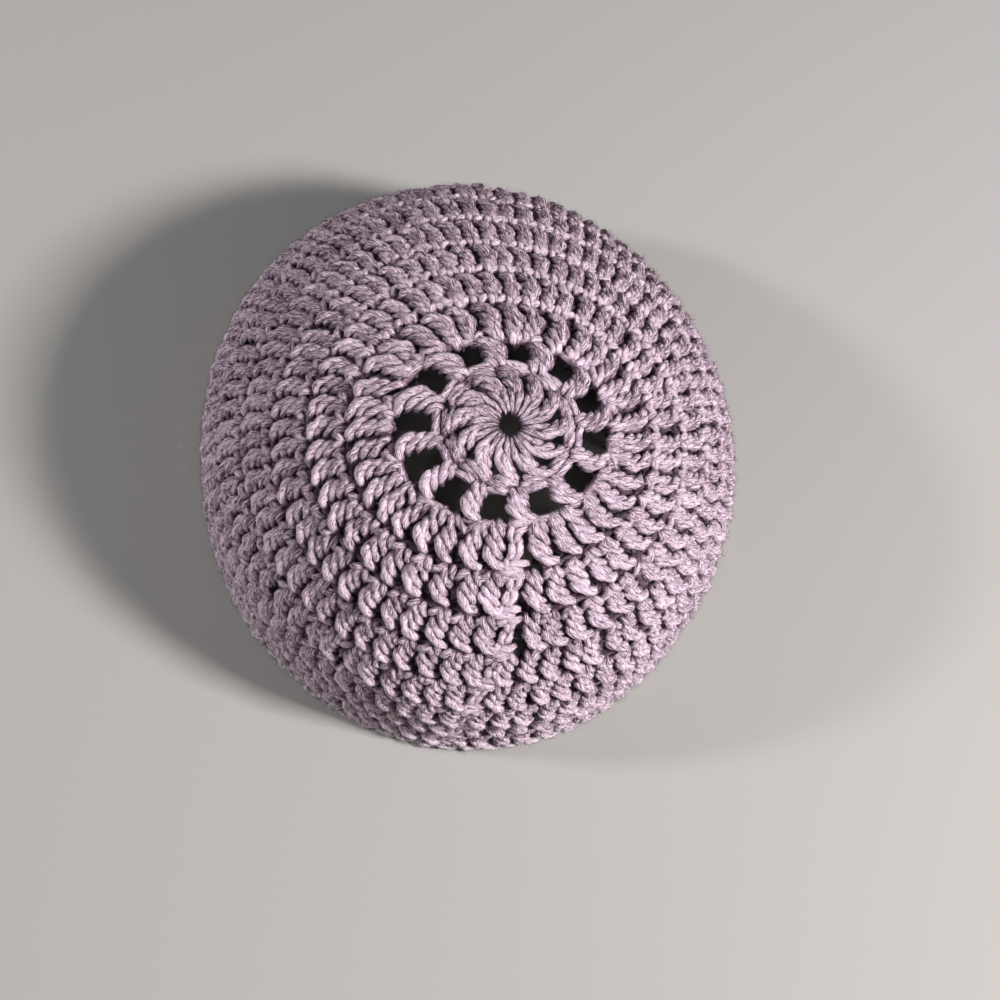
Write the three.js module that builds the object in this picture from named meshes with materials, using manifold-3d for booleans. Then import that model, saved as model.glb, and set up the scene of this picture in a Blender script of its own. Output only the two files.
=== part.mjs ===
// Crochet beanie: a domed cap worked from the crown down in joined rounds of thick wool.
// Millimetres, +Z up. The hem lies on z = 0 with the head opening facing down.
// Azimuths are in degrees, counted counter-clockwise from above, and start at -Y.
import * as THREE from 'three';
import { mergeVertices } from 'three/addons/utils/BufferGeometryUtils.js';
import Module from 'manifold-3d';

// The dome: an oval plan that rises from a straight side wall to the crown.
const PLAN_LONG = 93.7;        // half the cap's longest width
const PLAN_SHORT = 86.4;       // half its shortest width
const PLAN_TURN = 207;         // azimuth of the longest width
const CROWN_RISE = 61.6;       // height of the dome above the side wall
const WALL_DROP = 34;          // height of the side wall
const PLAN_POWER = 2.08;       // how square the dome's shoulder is, read across
const RISE_POWER = 1.52;       // the same, read upwards
const CROWN_LEAN_X = 9.7;      // the crown's middle sits off the axis, as soft wool settles
const CROWN_LEAN_Y = -16;
const LEAN_POWER = 1.6;        // the lean fades out towards the side wall
const MERIDIAN_STEPS = 160;

// The fabric: lengths are measured along its outside, down from the crown's middle.
const FABRIC = 4.5;            // thickness of the crocheted fabric
const GAP = 0.3;               // clearance between neighbouring rounds
const CROWN_HOLE = 3;          // radius of the small ring that the first round is worked into
const ROSETTE_END = 17.3;
const EYELET_ROUND_END = 32.6;
const ROUND_HEIGHT = 14.6;
const ROUND_SHRINK = 0.25;     // half of what each plain round is lower than the one before
const FIRST_PLAIN_ROUND = 3;
const LAST_PLAIN_ROUND = 10;
const EDGING_HEIGHT = 6.5;
const LEVEL_FROM = 5;          // rounds after this one stretch so that the hem lies level
const LEVEL_POWER = 1.5;       // the lowest rounds take most of that stretch

// The rounds are pulled out of true: to one side, and to two opposite sides at once.
const PULL = 1.8;
const PULL_TOWARDS = -52;
const OVAL_PULL = 2.2;
const OVAL_PULL_TOWARDS = -63;

// The twelve eyelets of the second round, and the gaps beside the seam: where each one's middle
// is, its width around the cap and its length down it.
const EYELETS = [
  { azimuth: -98, middle: 26.6, width: 7.6, length: 10.2 },
  { azimuth: -66, middle: 29.2, width: 7.2, length: 10.8 },
  { azimuth: -41, middle: 29.4, width: 7.2, length: 10 },
  { azimuth: -15.5, middle: 27.8, width: 7.4, length: 9 },
  { azimuth: 12.5, middle: 26.2, width: 7.4, length: 7.8 },
  { azimuth: 43.5, middle: 25.4, width: 7, length: 7.2 },
  { azimuth: 73.5, middle: 26.4, width: 7.2, length: 7 },
  { azimuth: 102, middle: 26.1, width: 6.6, length: 6.8 },
  { azimuth: 130, middle: 24.8, width: 5.6, length: 5.8 },
  { azimuth: 158, middle: 25, width: 5.4, length: 6.4 },
  { azimuth: 194, middle: 24.4, width: 5.6, length: 7 },
  { azimuth: 229, middle: 25, width: 6.6, length: 7.6 },
];
const HOLE_SIDES = 8;
const SEAM_GAPS = [
  { round: 3, azimuth: 33.5, middle: 39, width: 3.2, length: 4.6 },
  { round: 4, azimuth: 28.8, middle: 52.6, width: 2.8, length: 5.2 },
  { round: 5, azimuth: 27.4, middle: 66, width: 2.8, length: 5.4 },
];

// A round's section: its place down the round, and its depth below the outside, both as shares.
const PLAIN_SECTION = [
  { along: 0, depth: 0.28 }, { along: 0.16, depth: 0.1 }, { along: 0.46, depth: 0.02 },
  { along: 0.82, depth: 0 }, { along: 1, depth: 0.24 },
  { along: 1, depth: 0.92 }, { along: 0, depth: 0.92 },
];
const ROSETTE_SECTION = [
  { along: 0, depth: 0.3 }, { along: 0.2, depth: 0.06 },
  { along: 0.7, depth: 0 }, { along: 1, depth: 0.22 },
  { along: 1, depth: 0.86 }, { along: 0.5, depth: 1 }, { along: 0, depth: 0.84 },
];
const EYELET_SECTION = [
  { along: 0, depth: 0.24 }, { along: 0.3, depth: 0.12 },
  { along: 0.8, depth: 0.08 }, { along: 1, depth: 0.2 },
  { along: 1, depth: 0.8 }, { along: 0.5, depth: 0.86 }, { along: 0, depth: 0.84 },
];
const EDGING_SECTION = [
  { along: 0, depth: 0.26 }, { along: 0.3, depth: 0.06 },
  { along: 0.8, depth: 0.1 }, { along: 1, depth: 0.26 },
  { along: 1, depth: 0.74 }, { along: 0.5, depth: 0.92 }, { along: 0, depth: 0.82 },
];
const SEGMENTS = 60;

const WOOL_COLOUR = 0x9a8390;
const EDGE_COLOUR = 0xb3a0aa;

const radians = (degrees) => (degrees * Math.PI) / 180;

// The plan's radius at an azimuth: an ellipse.
function planRadius(azimuth) {
  const turn = radians(azimuth - PLAN_TURN);
  return 1 / Math.hypot(Math.cos(turn) / PLAN_LONG, Math.sin(turn) / PLAN_SHORT);
}

// A point of the dome's outside; sweep runs from 0 at the crown to a quarter turn at the wall.
function domePoint(azimuth, sweep) {
  const reach = planRadius(azimuth) * Math.sin(sweep) ** (2 / PLAN_POWER);
  const rise = Math.max(Math.cos(sweep), 0) ** (2 / RISE_POWER);
  const lean = rise ** LEAN_POWER;
  return new THREE.Vector3(
    reach * Math.sin(radians(azimuth)) + CROWN_LEAN_X * lean,
    -reach * Math.cos(radians(azimuth)) + CROWN_LEAN_Y * lean,
    WALL_DROP + CROWN_RISE * rise,
  );
}

// The dome's line from crown to wall at one azimuth, with its length so far at each point.
const meridians = new Map();
function meridian(azimuth) {
  const key = azimuth.toFixed(4);
  if (!meridians.has(key)) {
    const points = [];
    const lengths = [0];
    for (let step = 0; step <= MERIDIAN_STEPS; step += 1) {
      points.push(domePoint(azimuth, (step / MERIDIAN_STEPS) * (Math.PI / 2)));
      if (step > 0) lengths.push(lengths[step - 1] + points[step].distanceTo(points[step - 1]));
    }
    meridians.set(key, { points, lengths });
  }
  return meridians.get(key);
}

const domeLength = (azimuth) => meridian(azimuth).lengths[MERIDIAN_STEPS];
const hemLength = (azimuth) => domeLength(azimuth) + WALL_DROP;

// A point of the cap's outside at a length down from the crown.
function outsidePoint(azimuth, length) {
  const { points, lengths } = meridian(azimuth);
  if (length >= lengths[MERIDIAN_STEPS]) {
    const foot = points[MERIDIAN_STEPS].clone();
    foot.z = Math.max(WALL_DROP - (length - lengths[MERIDIAN_STEPS]), 0);
    return foot;
  }
  let step = 1;
  while (lengths[step] < length) step += 1;
  const share = (length - lengths[step - 1]) / (lengths[step] - lengths[step - 1]);
  return points[step - 1].clone().lerp(points[step], share);
}

// The outward direction of the fabric, from its slopes along and around the cap.
function outwards(azimuth, length) {
  const reach = 0.5; // mm either way
  const turn = 1; // degrees either way
  if (length >= domeLength(azimuth)) {
    const around = outsidePoint(azimuth + turn, length).sub(outsidePoint(azimuth - turn, length));
    return new THREE.Vector3(around.y, -around.x, 0).normalize();
  }
  const above = Math.max(length - reach, 0);
  const down = outsidePoint(azimuth, length + reach).sub(outsidePoint(azimuth, above));
  const around = outsidePoint(azimuth + turn, length).sub(outsidePoint(azimuth - turn, length));
  return down.cross(around).normalize();
}

function fabricPoint(azimuth, length, depth) {
  return outsidePoint(azimuth, length).addScaledVector(outwards(azimuth, length), -depth);
}

function pull(azimuth) {
  return PULL * Math.cos(radians(azimuth - PULL_TOWARDS))
    + OVAL_PULL * Math.cos(radians(2 * (azimuth - OVAL_PULL_TOWARDS)));
}

// Where a round would end if the hem didn't have to lie level.
function workedEnd(round, azimuth) {
  const plain = round - FIRST_PLAIN_ROUND + 1;
  return EYELET_ROUND_END + (ROUND_HEIGHT - ROUND_SHRINK * plain) * plain + pull(azimuth);
}

// How far down a round ends at an azimuth: the lower rounds share out what levels the hem.
function roundEnd(round, azimuth) {
  if (round === 0) return CROWN_HOLE;
  if (round === 1) return ROSETTE_END;
  const stretch = hemLength(azimuth) - EDGING_HEIGHT - workedEnd(LAST_PLAIN_ROUND, azimuth);
  const share = Math.max(round - LEVEL_FROM, 0) / (LAST_PLAIN_ROUND - LEVEL_FROM);
  return workedEnd(round, azimuth) + stretch * share ** LEVEL_POWER;
}

// A closed ring of fabric: the section's points at every azimuth, joined round the cap.
function ringGeometry(section, startAt, endAt) {
  const positions = [];
  const faces = [];
  const count = section.length;
  for (let segment = 0; segment < SEGMENTS; segment += 1) {
    const azimuth = (360 / SEGMENTS) * segment;
    const start = startAt(azimuth);
    const end = endAt(azimuth);
    section.forEach(({ along, depth }) => {
      positions.push(...fabricPoint(azimuth, start + (end - start) * along, FABRIC * depth).toArray());
    });
    const here = segment * count;
    const next = ((segment + 1) % SEGMENTS) * count;
    for (let corner = 0; corner < count; corner += 1) {
      const after = (corner + 1) % count;
      faces.push(here + corner, here + after, next + after, here + corner, next + after, next + corner);
    }
  }
  const geometry = new THREE.BufferGeometry();
  geometry.setAttribute('position', new THREE.Float32BufferAttribute(positions, 3));
  geometry.setIndex(faces);
  return geometry;
}

function roundGeometry(section, round) {
  return ringGeometry(
    section,
    (azimuth) => roundEnd(round - 1, azimuth) + (round > 1 ? GAP / 2 : 0),
    (azimuth) => roundEnd(round, azimuth) - GAP / 2,
  );
}

// A rounded plug through the fabric, square to it, to cut one hole with.
function holePlug(azimuth, middle, width, length) {
  const centre = outsidePoint(azimuth, middle);
  const out = outwards(azimuth, middle);
  const down = outsidePoint(azimuth, middle + 1).sub(centre).normalize();
  const across = new THREE.Vector3().crossVectors(down, out).normalize();
  const positions = [];
  const faces = [];
  const rim = [];
  for (let side = 0; side < HOLE_SIDES; side += 1) {
    const turn = ((side + 0.5) / HOLE_SIDES) * 2 * Math.PI;
    rim.push(across.clone().multiplyScalar((Math.cos(turn) * width) / 2)
      .addScaledVector(down, (Math.sin(turn) * length) / 2).add(centre));
  }
  [FABRIC, -2 * FABRIC].forEach((height) => {
    rim.forEach((corner) => positions.push(...corner.clone().addScaledVector(out, height).toArray()));
  });
  for (let side = 0; side < HOLE_SIDES; side += 1) {
    const after = (side + 1) % HOLE_SIDES;
    faces.push(side, side + HOLE_SIDES, after, after, side + HOLE_SIDES, after + HOLE_SIDES);
    if (side > 0 && side < HOLE_SIDES - 1) {
      faces.push(0, side, side + 1, HOLE_SIDES, HOLE_SIDES + side + 1, HOLE_SIDES + side);
    }
  }
  const geometry = new THREE.BufferGeometry();
  geometry.setAttribute('position', new THREE.Float32BufferAttribute(positions, 3));
  geometry.setIndex(faces);
  return geometry;
}

const wasm = await Module();
wasm.setup();

function toSolid(geometry) {
  const merged = mergeVertices(geometry);
  return new wasm.Manifold(new wasm.Mesh({
    numProp: 3,
    vertProperties: new Float32Array(merged.attributes.position.array),
    triVerts: new Uint32Array(merged.index.array),
  }));
}

function toGeometry(solid) {
  const mesh = solid.getMesh();
  const geometry = new THREE.BufferGeometry();
  geometry.setAttribute('position', new THREE.Float32BufferAttribute(mesh.vertProperties, 3));
  geometry.setIndex(Array.from(mesh.triVerts));
  return geometry;
}

function pierced(geometry, plugs) {
  let solid = toSolid(geometry);
  plugs.forEach((plug) => { solid = solid.subtract(toSolid(plug)); });
  return toGeometry(solid);
}

function plugsFor(holes) {
  return holes.map(({ azimuth, middle, width, length }) => holePlug(azimuth, middle, width, length));
}

function plainRound(round) {
  const geometry = roundGeometry(PLAIN_SECTION, round);
  const gaps = SEAM_GAPS.filter((gap) => gap.round === round);
  if (gaps.length === 0) return geometry;
  return pierced(geometry, plugsFor(gaps));
}

function hemEdging() {
  return ringGeometry(
    EDGING_SECTION,
    (azimuth) => roundEnd(LAST_PLAIN_ROUND, azimuth) + GAP / 2,
    (azimuth) => hemLength(azimuth),
  );
}

const WOOL_ROUGHNESS = 0.9;
function wool(name, colour) {
  return new THREE.MeshStandardMaterial({ name, color: colour, roughness: WOOL_ROUGHNESS, metalness: 0 });
}

function named(name, geometry, material) {
  geometry.computeVertexNormals();
  const mesh = new THREE.Mesh(geometry, material);
  mesh.name = name;
  return mesh;
}

const beanie = new THREE.Group();
beanie.name = 'crochet_beanie';
beanie.add(named('crown_rosette', roundGeometry(ROSETTE_SECTION, 1), wool('rosette_wool', WOOL_COLOUR)));
beanie.add(named('eyelet_round', pierced(roundGeometry(EYELET_SECTION, 2), plugsFor(EYELETS)),
  wool('eyelet_wool', WOOL_COLOUR)));
for (let round = FIRST_PLAIN_ROUND; round <= LAST_PLAIN_ROUND; round += 1) {
  const label = `round_${String(round).padStart(2, '0')}`;
  beanie.add(named(label, plainRound(round), wool(`${label}_wool`, WOOL_COLOUR)));
}
beanie.add(named('hem_edging', hemEdging(), wool('edging_wool', EDGE_COLOUR)));

export default beanie;
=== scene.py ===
"""Crochet beanie: every stitch of the cap as plied yarn, laid over the CAD rings.

The cap is worked from the crown down: a rosette, a round of eyelets, eight plain rounds and an
edging. Each round is one continuous yarn that runs from stitch to stitch, swept by Geometry Nodes
into a plied strand with fuzz, and joined to the next round at a slanting seam.
"""
from __future__ import annotations

import logging
import math
from collections.abc import Sequence
from dataclasses import dataclass, field
from enum import Enum
from functools import cached_property

import bpy
import numpy as np
from mathutils import Matrix, Vector


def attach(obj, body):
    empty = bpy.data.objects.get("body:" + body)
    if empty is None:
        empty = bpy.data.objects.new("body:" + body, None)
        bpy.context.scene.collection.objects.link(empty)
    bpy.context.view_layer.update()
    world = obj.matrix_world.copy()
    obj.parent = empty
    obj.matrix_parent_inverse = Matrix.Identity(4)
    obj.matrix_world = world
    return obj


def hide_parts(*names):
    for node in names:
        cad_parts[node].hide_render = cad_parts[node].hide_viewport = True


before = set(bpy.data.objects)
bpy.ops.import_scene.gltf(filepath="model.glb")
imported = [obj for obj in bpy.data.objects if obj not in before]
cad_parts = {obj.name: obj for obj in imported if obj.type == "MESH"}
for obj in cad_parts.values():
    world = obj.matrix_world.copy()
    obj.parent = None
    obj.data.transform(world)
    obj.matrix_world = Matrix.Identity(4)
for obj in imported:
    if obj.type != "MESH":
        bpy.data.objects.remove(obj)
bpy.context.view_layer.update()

LOG = logging.getLogger("beanie")
MM = 0.001
Array = np.ndarray


class Spot(Enum):
    """Names of the attributes that the yarn's mesh carries."""

    RADIUS = "radius"
    ALONG = "along"
    TONE = "tone"
    FIBRE = "fibre"
    HEIGHT = "height"
    OUT = "out"
    CENTRE = "centre"


@dataclass(frozen=True)
class CapSizes:
    """The cap's own sizes, as the CAD source has them, in mm and degrees."""

    plan_long: float = 93.7
    plan_short: float = 86.4
    plan_turn: float = 207.0
    crown_rise: float = 61.6
    wall_drop: float = 34.0
    plan_power: float = 2.08
    rise_power: float = 1.52
    crown_lean_x: float = 9.7
    crown_lean_y: float = -16.0
    lean_power: float = 1.6
    fabric: float = 4.5
    crown_hole: float = 3.0
    rosette_end: float = 17.3
    eyelet_round_end: float = 32.6
    round_height: float = 14.6
    round_shrink: float = 0.25
    edging_height: float = 6.5
    level_from: int = 5
    level_power: float = 1.5
    last_plain: int = 10
    pull: float = 1.8
    pull_towards: float = -52.0
    oval_pull: float = 2.2
    oval_pull_towards: float = -63.0
    # each eyelet's azimuth in degrees, then its middle and its width in mm
    eyelets: tuple[tuple[float, float, float], ...] = (
        (-98.0, 26.6, 7.6), (-66.0, 29.2, 7.2), (-41.0, 29.4, 7.2),
        (-15.5, 27.8, 7.4), (12.5, 26.2, 7.4), (43.5, 25.4, 7.0),
        (73.5, 26.4, 7.2), (102.0, 26.1, 6.6), (130.0, 24.8, 5.6),
        (158.0, 25.0, 5.4), (194.0, 24.4, 5.6), (229.0, 25.0, 6.6),
    )


@dataclass
class CapShape:
    """The cap's outer skin as a surface of azimuth and of length down from the crown.

    Azimuth is in degrees, counter-clockwise from above, from -Y. Length is in mm.
    """

    sizes: CapSizes
    azimuth_step: float = 1.5
    length_step: float = 0.5
    longest: float = 180.0
    sweeps: int = 160

    def __post_init__(self) -> None:
        """Tabulates the skin and its normals."""
        sizes = self.sizes
        azimuths = np.arange(0.0, 360.0 + self.azimuth_step / 2, self.azimuth_step)
        turn = np.radians(azimuths)[:, None]
        sweep = np.linspace(0.0, math.pi / 2, self.sweeps + 1)[None, :]
        reach = self.plan_radius(azimuths)[:, None] * np.sin(sweep) ** (2 / sizes.plan_power)
        rise = np.clip(np.cos(sweep), 0.0, 1.0) ** (2 / sizes.rise_power)
        lean = rise**sizes.lean_power
        dome = np.stack(
            [
                reach * np.sin(turn) + sizes.crown_lean_x * lean,
                -reach * np.cos(turn) + sizes.crown_lean_y * lean,
                np.broadcast_to(sizes.wall_drop + sizes.crown_rise * rise, reach.shape),
            ],
            axis=2,
        )
        steps = np.linalg.norm(np.diff(dome, axis=1), axis=2)
        arc = np.concatenate([np.zeros((len(azimuths), 1)), np.cumsum(steps, axis=1)], axis=1)
        self.dome_length = arc[:, -1]
        self.azimuths = azimuths
        self.lengths = np.arange(0.0, self.longest, self.length_step)
        skin = np.zeros((len(azimuths), len(self.lengths), 3))
        for i in range(len(azimuths)):
            for axis in range(3):
                skin[i, :, axis] = np.interp(self.lengths, arc[i], dome[i, :, axis])
            skin[i, :, 2] -= np.clip(self.lengths - self.dome_length[i], 0.0, None)
        down = np.gradient(skin, axis=1)
        around = np.roll(skin[:-1], -1, axis=0) - np.roll(skin[:-1], 1, axis=0)
        around = np.concatenate([around, around[:1]], axis=0)
        normal = np.cross(down, around)
        # the meridians meet at the crown, so its first normals are those just below it
        normal[:, :3] = normal[:, 3:4]
        self.normals = normal / np.linalg.norm(normal, axis=2, keepdims=True)
        self.skin = skin

    def plan_radius(self, azimuth: Array) -> Array:
        """Returns the brim's radius in mm at each azimuth."""
        turn = np.radians(azimuth - self.sizes.plan_turn)
        return 1 / np.hypot(np.cos(turn) / self.sizes.plan_long, np.sin(turn) / self.sizes.plan_short)

    def hem_length(self, azimuth: Array) -> Array:
        """Returns the length from the crown to the hem in mm at each azimuth."""
        dome = np.interp(azimuth % 360.0, self.azimuths, self.dome_length)
        return dome + self.sizes.wall_drop

    def worked_end(self, number: int, azimuth: Array) -> Array:
        """Returns where a plain round would end if the hem didn't have to lie level.

        Args:
            number: the round.
            azimuth: the azimuths in degrees.

        Returns:
            The lengths in mm.
        """
        sizes = self.sizes
        plain = number - 2
        worked = sizes.eyelet_round_end + (sizes.round_height - sizes.round_shrink * plain) * plain
        pull = sizes.pull * np.cos(np.radians(azimuth - sizes.pull_towards))
        oval = sizes.oval_pull * np.cos(np.radians(2 * (azimuth - sizes.oval_pull_towards)))
        return worked + pull + oval

    def round_end(self, number: int, azimuth: Array) -> Array:
        """Returns where a round ends: the lower rounds share out what levels the hem.

        Args:
            number: the round, from 0 for the crown hole to 11 for the hem.
            azimuth: the azimuths in degrees.

        Returns:
            The lengths in mm.
        """
        sizes = self.sizes
        if number == 0:
            return np.full_like(azimuth, sizes.crown_hole)
        if number == 1:
            return np.full_like(azimuth, sizes.rosette_end)
        hem = self.hem_length(azimuth)
        if number > sizes.last_plain:
            return hem
        stretch = hem - sizes.edging_height - self.worked_end(sizes.last_plain, azimuth)
        share = max(number - sizes.level_from, 0) / (sizes.last_plain - sizes.level_from)
        return self.worked_end(number, azimuth) + stretch * share**sizes.level_power

    def place(self, azimuth: Array, length: Array, height: Array) -> tuple[Array, Array]:
        """Puts points on the fabric.

        Args:
            azimuth: degrees from -Y.
            length: mm from the crown.
            height: mm outwards from the middle of the fabric.

        Returns:
            The points in metres, and the fabric's outward directions there.
        """
        across = (azimuth % 360.0) / self.azimuth_step
        downward = np.clip(length, 0.0, self.lengths[-2]) / self.length_step
        i = np.minimum(across.astype(int), len(self.azimuths) - 2)
        k = np.minimum(downward.astype(int), len(self.lengths) - 2)
        u = (across - i)[:, None]
        v = (downward - k)[:, None]

        def blend(table: Array) -> Array:
            """Returns the table's values between its four nearest entries."""
            near, far = (table[n, k] * (1 - v) + table[n, k + 1] * v for n in (i, i + 1))
            return near * (1 - u) + far * u

        normal = blend(self.normals)
        normal /= np.linalg.norm(normal, axis=1, keepdims=True)
        depth = self.sizes.fabric / 2 - height
        return (blend(self.skin) - normal * depth[:, None]) * MM, normal


# Rows of a stitch are (x, y, z, radius): x in mm counter-clockwise from the middle of the stitch,
# y the share of the round's height, z in mm outwards from the middle of the fabric.
Row = tuple[float, float, float, float]
Rows = list[Row]

# Rows of a yarn's path are (azimuth, length, height, radius, tone).
Path = list[tuple[float, float, float, float, float]]

# The width of a stitch that the tables below are drawn for.
POST_PITCH = 6.6

DOUBLE_CROCHET: Rows = [
    (-1.6, 0.92, -1.3, 0.95), (-0.4, 0.45, -1.6, 0.95), (0.0, 0.1, -1.0, 0.95),
    (0.11, 0.02, 0.3, 1.12), (0.48, 0.09, 1.5, 1.26), (1.22, 0.19, 1.5, 1.22),
    (1.91, 0.28, 0.4, 1.05), (0.9, 0.24, -1.3, 0.95), (-1.5, 0.06, -1.1, 0.95),
    (-2.23, 0.04, 0.3, 1.1), (-1.91, 0.12, 1.6, 1.28), (-0.85, 0.24, 1.6, 1.3),
    (0.37, 0.35, 1.5, 1.3), (1.43, 0.46, 0.95, 1.18), (1.91, 0.52, -0.3, 1.0),
    (0.0, 0.42, -1.4, 0.95), (-2.01, 0.27, -0.6, 1.0), (-2.49, 0.28, 0.5, 1.12),
    (-2.12, 0.36, 1.45, 1.3), (-0.95, 0.48, 1.65, 1.34), (0.42, 0.6, 1.55, 1.34),
    (1.59, 0.68, 0.95, 1.18), (1.9, 0.73, -0.3, 1.0), (0.2, 0.62, -1.4, 0.95),
    (-2.23, 0.45, -0.6, 1.0), (-2.76, 0.46, 0.5, 1.15), (-2.39, 0.56, 1.55, 1.36),
    (-1.33, 0.67, 2.05, 1.46), (0.1, 0.78, 2.25, 1.52), (1.5, 0.84, 2.15, 1.48),
    (2.7, 0.88, 1.25, 1.24), (3.3, 0.89, -0.3, 0.95),
]

BASE_BAR: Rows = [
    (0.6, 0.26, -0.9, 0.95), (1.5, 0.23, 0.2, 1.05), (2.2, 0.18, 1.3, 1.18),
    (3.2, 0.11, 1.8, 1.22), (4.1, 0.06, 1.2, 1.12), (4.7, 0.05, -0.4, 0.95),
]

# The strand behind the gaps between the stitches.
BACK_STRAND: Rows = [
    (3.1, 0.06, -0.8, 1.6), (3.5, 0.72, -0.75, 1.75),
]

# The chain that the next round is worked into.
TOP_CHAIN: Rows = [
    (-1.6, 0.985, -0.2, 1.15), (1.6, 1.005, 0.05, 1.15),
]

CHAIN_LINK: Rows = [
    (-0.2, -0.05, -0.3, 1.05), (-1.1, 0.09, 1.1, 1.2), (-1.0, 0.24, 1.7, 1.3),
    (-0.2, 0.37, 0.9, 1.1), (0.3, 0.37, 0.9, 1.1), (1.1, 0.24, 1.6, 1.25),
    (1.0, 0.09, 1.0, 1.15), (0.2, -0.05, -0.3, 1.05),
]

JOIN_DASH: Rows = [
    (-3.6, 0.05, 0.1, 0.95), (-2.4, 0.01, 1.6, 1.15), (-0.8, -0.01, 2.1, 1.25),
    (0.9, -0.01, 1.8, 1.2), (2.2, 0.02, 0.3, 1.0),
]

ROSETTE_STITCH: Rows = [
    (-2.7, 0.1, -1.1, 0.5), (-2.3, 0.03, 0.3, 0.5), (-2.2, 0.09, 1.2, 0.6),
    (-2.1, 0.2, 1.4, 0.82), (-2.0, 0.34, 1.5, 1.02), (-1.9, 0.48, 1.55, 1.18),
    (-1.5, 0.62, 1.65, 1.28), (-0.8, 0.75, 1.85, 1.34), (0.3, 0.86, 2.0, 1.38),
    (1.6, 0.94, 1.8, 1.34), (2.8, 0.97, 1.0, 1.2), (3.4, 0.94, -0.4, 1.0),
    (2.0, 0.7, -1.3, 0.95), (-0.6, 0.46, -0.6, 0.9), (-0.8, 0.47, 0.7, 1.0),
    (-0.1, 0.57, 1.6, 1.18), (0.9, 0.68, 1.9, 1.28), (2.1, 0.77, 1.5, 1.2),
    (3.0, 0.82, 0.0, 1.0), (2.4, 0.66, 0.1, 1.0), (1.9, 0.5, 1.25, 1.14),
    (1.4, 0.34, 1.4, 1.0), (1.15, 0.19, 1.35, 0.78), (1.05, 0.08, 1.15, 0.58),
    (1.1, 0.02, 0.2, 0.5), (1.5, 0.3, -1.3, 0.7), (2.8, 0.8, -1.3, 1.0),
    (3.2, 0.4, -1.3, 0.8),
]

ROSETTE_TOP: Rows = [
    (-2.6, 1.02, 0.1, 1.15), (-0.9, 1.0, 1.0, 1.3), (1.0, 1.04, 1.4, 1.35),
    (2.6, 1.09, 0.9, 1.2),
]

# The four yarns that run round the eyelets: (y, z, radius) at each quarter of the way from post
# to post.
EYELET_LOOPS = (
    ((0.99, 0.3, 1.2), (0.98, 1.0, 1.3), (0.98, 0.9, 1.3), (1.0, 0.3, 1.2)),
    ((1.06, -0.5, 1.2), (1.08, 0.1, 1.3), (1.08, 0.3, 1.3), (1.08, 0.0, 1.25)),
    ((0.3, 0.2, 1.2), (0.26, 0.9, 1.3), (0.24, 1.1, 1.35), (0.26, 0.8, 1.3)),
    ((0.13, -0.2, 1.15), (0.11, 0.9, 1.3), (0.1, 1.1, 1.3), (0.12, 0.6, 1.25)),
)

EDGE_STITCH: Rows = [
    (-3.25, 0.95, -0.9, 1.08), (-1.5, 0.6, -1.2, 1.08), (-1.25, 0.0, -1.0, 1.08),
    (-2.0, -0.1, 0.0, 1.08), (-2.75, 0.15, 1.5, 1.2), (-2.5, 0.5, 1.9, 1.32),
    (-0.75, 0.8, 2.0, 1.38), (1.5, 0.85, 1.8, 1.38), (2.75, 0.6, 1.5, 1.26),
    (1.75, 0.25, 1.5, 1.2), (1.12, -0.08, 0.9, 1.08), (1.75, 0.1, -1.1, 1.08),
    (2.5, 0.7, -1.2, 1.08),
]


def placed(name: str, data: bpy.types.ID) -> bpy.types.Object:
    """Puts a new object in the scene.

    Args:
        name: its name.
        data: its mesh, light or camera.

    Returns:
        The object.
    """
    thing = bpy.data.objects.new(name, data)
    bpy.context.scene.collection.objects.link(thing)
    return thing


@dataclass
class YarnMesh:
    """Polylines for the sweep: their points, edges and attributes."""

    points: list[Array] = field(default_factory=list)
    edges: list[Array] = field(default_factory=list)
    marks: dict[Spot, list[Array]] = field(default_factory=dict)
    count: int = 0

    def add(self, points: Array, out: Array, values: Array, phase: float) -> None:
        """Adds one open polyline.

        Args:
            points: its points in metres.
            out: the fabric's outward direction at each point.
            values: at each point the height and the radius in mm, and the shade.
            phase: where its plies start, in metres along the yarn.
        """
        steps = np.linalg.norm(np.diff(points, axis=0), axis=1)
        first = self.count + np.arange(len(points) - 1)
        self.points.append(points)
        self.edges.append(np.stack([first, first + 1], axis=1))
        self.count += len(points)
        for spot, marks in (
            (Spot.RADIUS, values[:, 1] * MM),
            (Spot.ALONG, np.concatenate([[0.0], np.cumsum(steps)]) + phase),
            (Spot.TONE, values[:, 2]),
            (Spot.HEIGHT, values[:, 0] * MM),
            (Spot.OUT, out),
        ):
            self.marks.setdefault(spot, []).append(marks)

    def to_object(self, name: str) -> bpy.types.Object:
        """Makes an object of edges with the sweep's attributes.

        Args:
            name: the object's name.

        Returns:
            The object, linked to the scene.
        """
        mesh = bpy.data.meshes.new(name)
        points = np.concatenate(self.points)
        edges = np.concatenate(self.edges)
        mesh.vertices.add(len(points))
        mesh.vertices.foreach_set("co", points.astype(np.float32).ravel())
        mesh.edges.add(len(edges))
        mesh.edges.foreach_set("vertices", edges.astype(np.int32).ravel())
        for spot, marks in self.marks.items():
            values = np.concatenate(marks).astype(np.float32)
            kind, key = ("FLOAT", "value") if values.ndim == 1 else ("FLOAT_VECTOR", "vector")
            mesh.attributes.new(spot.value, kind, "POINT").data.foreach_set(key, values.ravel())
        mesh.update()
        return placed(name, mesh)


# What lies deeper in the fabric than this, in mm, is hidden and gets longer steps.
HIDDEN_BELOW = -0.7
HIDDEN_STEP = 2.6


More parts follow.
